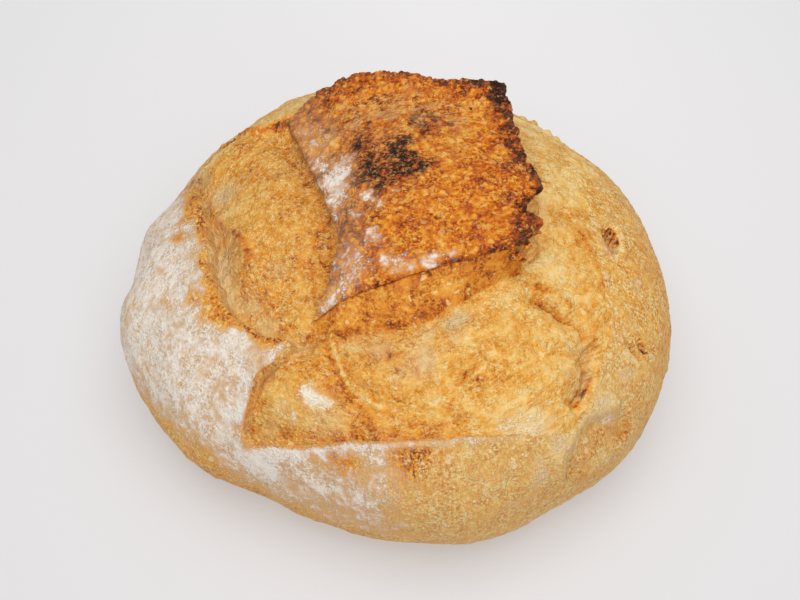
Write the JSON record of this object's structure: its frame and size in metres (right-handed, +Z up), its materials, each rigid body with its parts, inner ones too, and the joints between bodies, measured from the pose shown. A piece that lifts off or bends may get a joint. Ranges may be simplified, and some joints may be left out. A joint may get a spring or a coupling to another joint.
{
  "type": "round sourdough loaf",
  "caption": "Round, flat-bottomed bread loaf whose slashed crust has torn open round a large raised ear that curls up at the back.",
  "frame": {"origin": "on the flat foot, under the middle of the bounding box", "axes": "+Z up out of the flat foot, -Y to the front, where the ear's hinged tip points, +X to the right of it"},
  "size_m": [0.2328, 0.2344, 0.116],
  "materials": {
    "crust": "dry, matte baked crust, part of it dusted with flour",
    "bloom": "golden torn dough, baked, faintly satin",
    "ear": "dark blistered crust, charred at its edges, faintly satin"
  },
  "bodies": {
    "root": {"loaf": "crust"}
  },
  "joints": []
}
